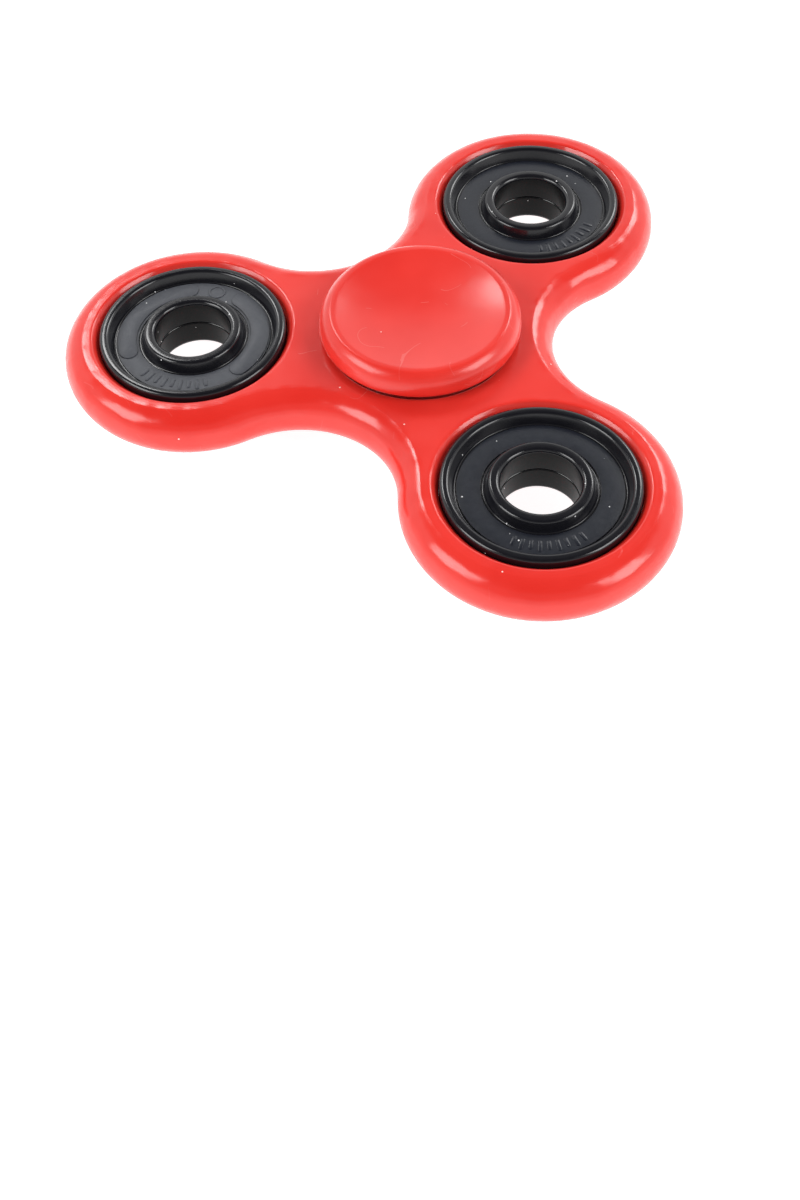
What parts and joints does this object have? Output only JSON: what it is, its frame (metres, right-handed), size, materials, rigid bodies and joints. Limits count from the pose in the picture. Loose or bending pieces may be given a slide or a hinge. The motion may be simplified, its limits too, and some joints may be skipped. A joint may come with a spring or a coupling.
{
  "type": "fidget spinner",
  "caption": "Hand-held spinner with a round-edged moulded frame, bored weights in the arm ends, a ball bearing at the centre and a dished finger cap on each face.",
  "frame": {"origin": "on the spin axis, halfway through the centre bearing, which is also the centre of mass", "axes": "+Z along the spin axis, out of the top finger cap; -X along the second arm, with the first arm at 60 degrees and the third at 300 degrees from +X"},
  "size_m": [0.0712, 0.0774, 0.0132],
  "materials": {
    "red_plastic": "glossy moulded ABS",
    "black_plastic": "semi-gloss moulding with a finely grained face",
    "bearing_steel": "ground bearing steel",
    "pressed_steel": "pressed sheet steel",
    "weight_steel": "plain turned steel"
  },
  "bodies": {
    "hub": {"bearing_inner_race": "bearing_steel", "top_finger_cap": "red_plastic", "bottom_finger_cap": "red_plastic"},
    "rotor": {"frame": "red_plastic", "weight_1_upper_shell": "black_plastic", "weight_1_lower_shell": "black_plastic", "weight_1_steel_ring": "weight_steel", "weight_2_upper_shell": "black_plastic", "weight_2_lower_shell": "black_plastic", "weight_2_steel_ring": "weight_steel", "weight_3_upper_shell": "black_plastic", "weight_3_lower_shell": "black_plastic", "weight_3_steel_ring": "weight_steel", "bearing_outer_race": "bearing_steel", "bearing_shield_upper": "pressed_steel", "bearing_shield_lower": "pressed_steel"},
    "cage": {"bearing_cage_upper": "pressed_steel", "bearing_cage_lower": "pressed_steel"},
    "ball_1": {"bearing_ball_1": "bearing_steel"},
    "ball_2": {"bearing_ball_2": "bearing_steel"},
    "ball_3": {"bearing_ball_3": "bearing_steel"},
    "ball_4": {"bearing_ball_4": "bearing_steel"},
    "ball_5": {"bearing_ball_5": "bearing_steel"},
    "ball_6": {"bearing_ball_6": "bearing_steel"},
    "ball_7": {"bearing_ball_7": "bearing_steel"}
  },
  "joints": [
    {"name": "rotor_spin", "type": "hinge", "parent": "hub", "child": "rotor", "pos_m": [0, 0, 0], "axis": [0, 0, 1], "continuous": true},
    {"name": "cage_spin", "type": "hinge", "parent": "hub", "child": "cage", "pos_m": [0, 0, 0], "axis": [0, 0, 1], "continuous": true},
    {"name": "ball_1_spin", "type": "hinge", "parent": "cage", "child": "ball_1", "pos_m": [0.0075, 0, 0], "axis": [0, 0, 1], "continuous": true},
    {"name": "ball_2_spin", "type": "hinge", "parent": "cage", "child": "ball_2", "pos_m": [0.00468, 0.00586, 0], "axis": [0, 0, 1], "continuous": true},
    {"name": "ball_3_spin", "type": "hinge", "parent": "cage", "child": "ball_3", "pos_m": [-0.00167, 0.00731, 0], "axis": [0, 0, 1], "continuous": true},
    {"name": "ball_4_spin", "type": "hinge", "parent": "cage", "child": "ball_4", "pos_m": [-0.00676, 0.00325, 0], "axis": [0, 0, 1], "continuous": true},
    {"name": "ball_5_spin", "type": "hinge", "parent": "cage", "child": "ball_5", "pos_m": [-0.00676, -0.00325, 0], "axis": [0, 0, 1], "continuous": true},
    {"name": "ball_6_spin", "type": "hinge", "parent": "cage", "child": "ball_6", "pos_m": [-0.00167, -0.00731, 0], "axis": [0, 0, 1], "continuous": true},
    {"name": "ball_7_spin", "type": "hinge", "parent": "cage", "child": "ball_7", "pos_m": [0.00468, -0.00586, 0], "axis": [0, 0, 1], "continuous": true}
  ],
  "couplings": [
    {"joint": "cage_spin", "follows": "rotor_spin", "ratio": 0.6323},
    {"joint": "ball_1_spin", "follows": "rotor_spin", "ratio": 1.7573},
    {"joint": "ball_2_spin", "follows": "rotor_spin", "ratio": 1.7573},
    {"joint": "ball_3_spin", "follows": "rotor_spin", "ratio": 1.7573},
    {"joint": "ball_4_spin", "follows": "rotor_spin", "ratio": 1.7573},
    {"joint": "ball_5_spin", "follows": "rotor_spin", "ratio": 1.7573},
    {"joint": "ball_6_spin", "follows": "rotor_spin", "ratio": 1.7573},
    {"joint": "ball_7_spin", "follows": "rotor_spin", "ratio": 1.7573}
  ]
}
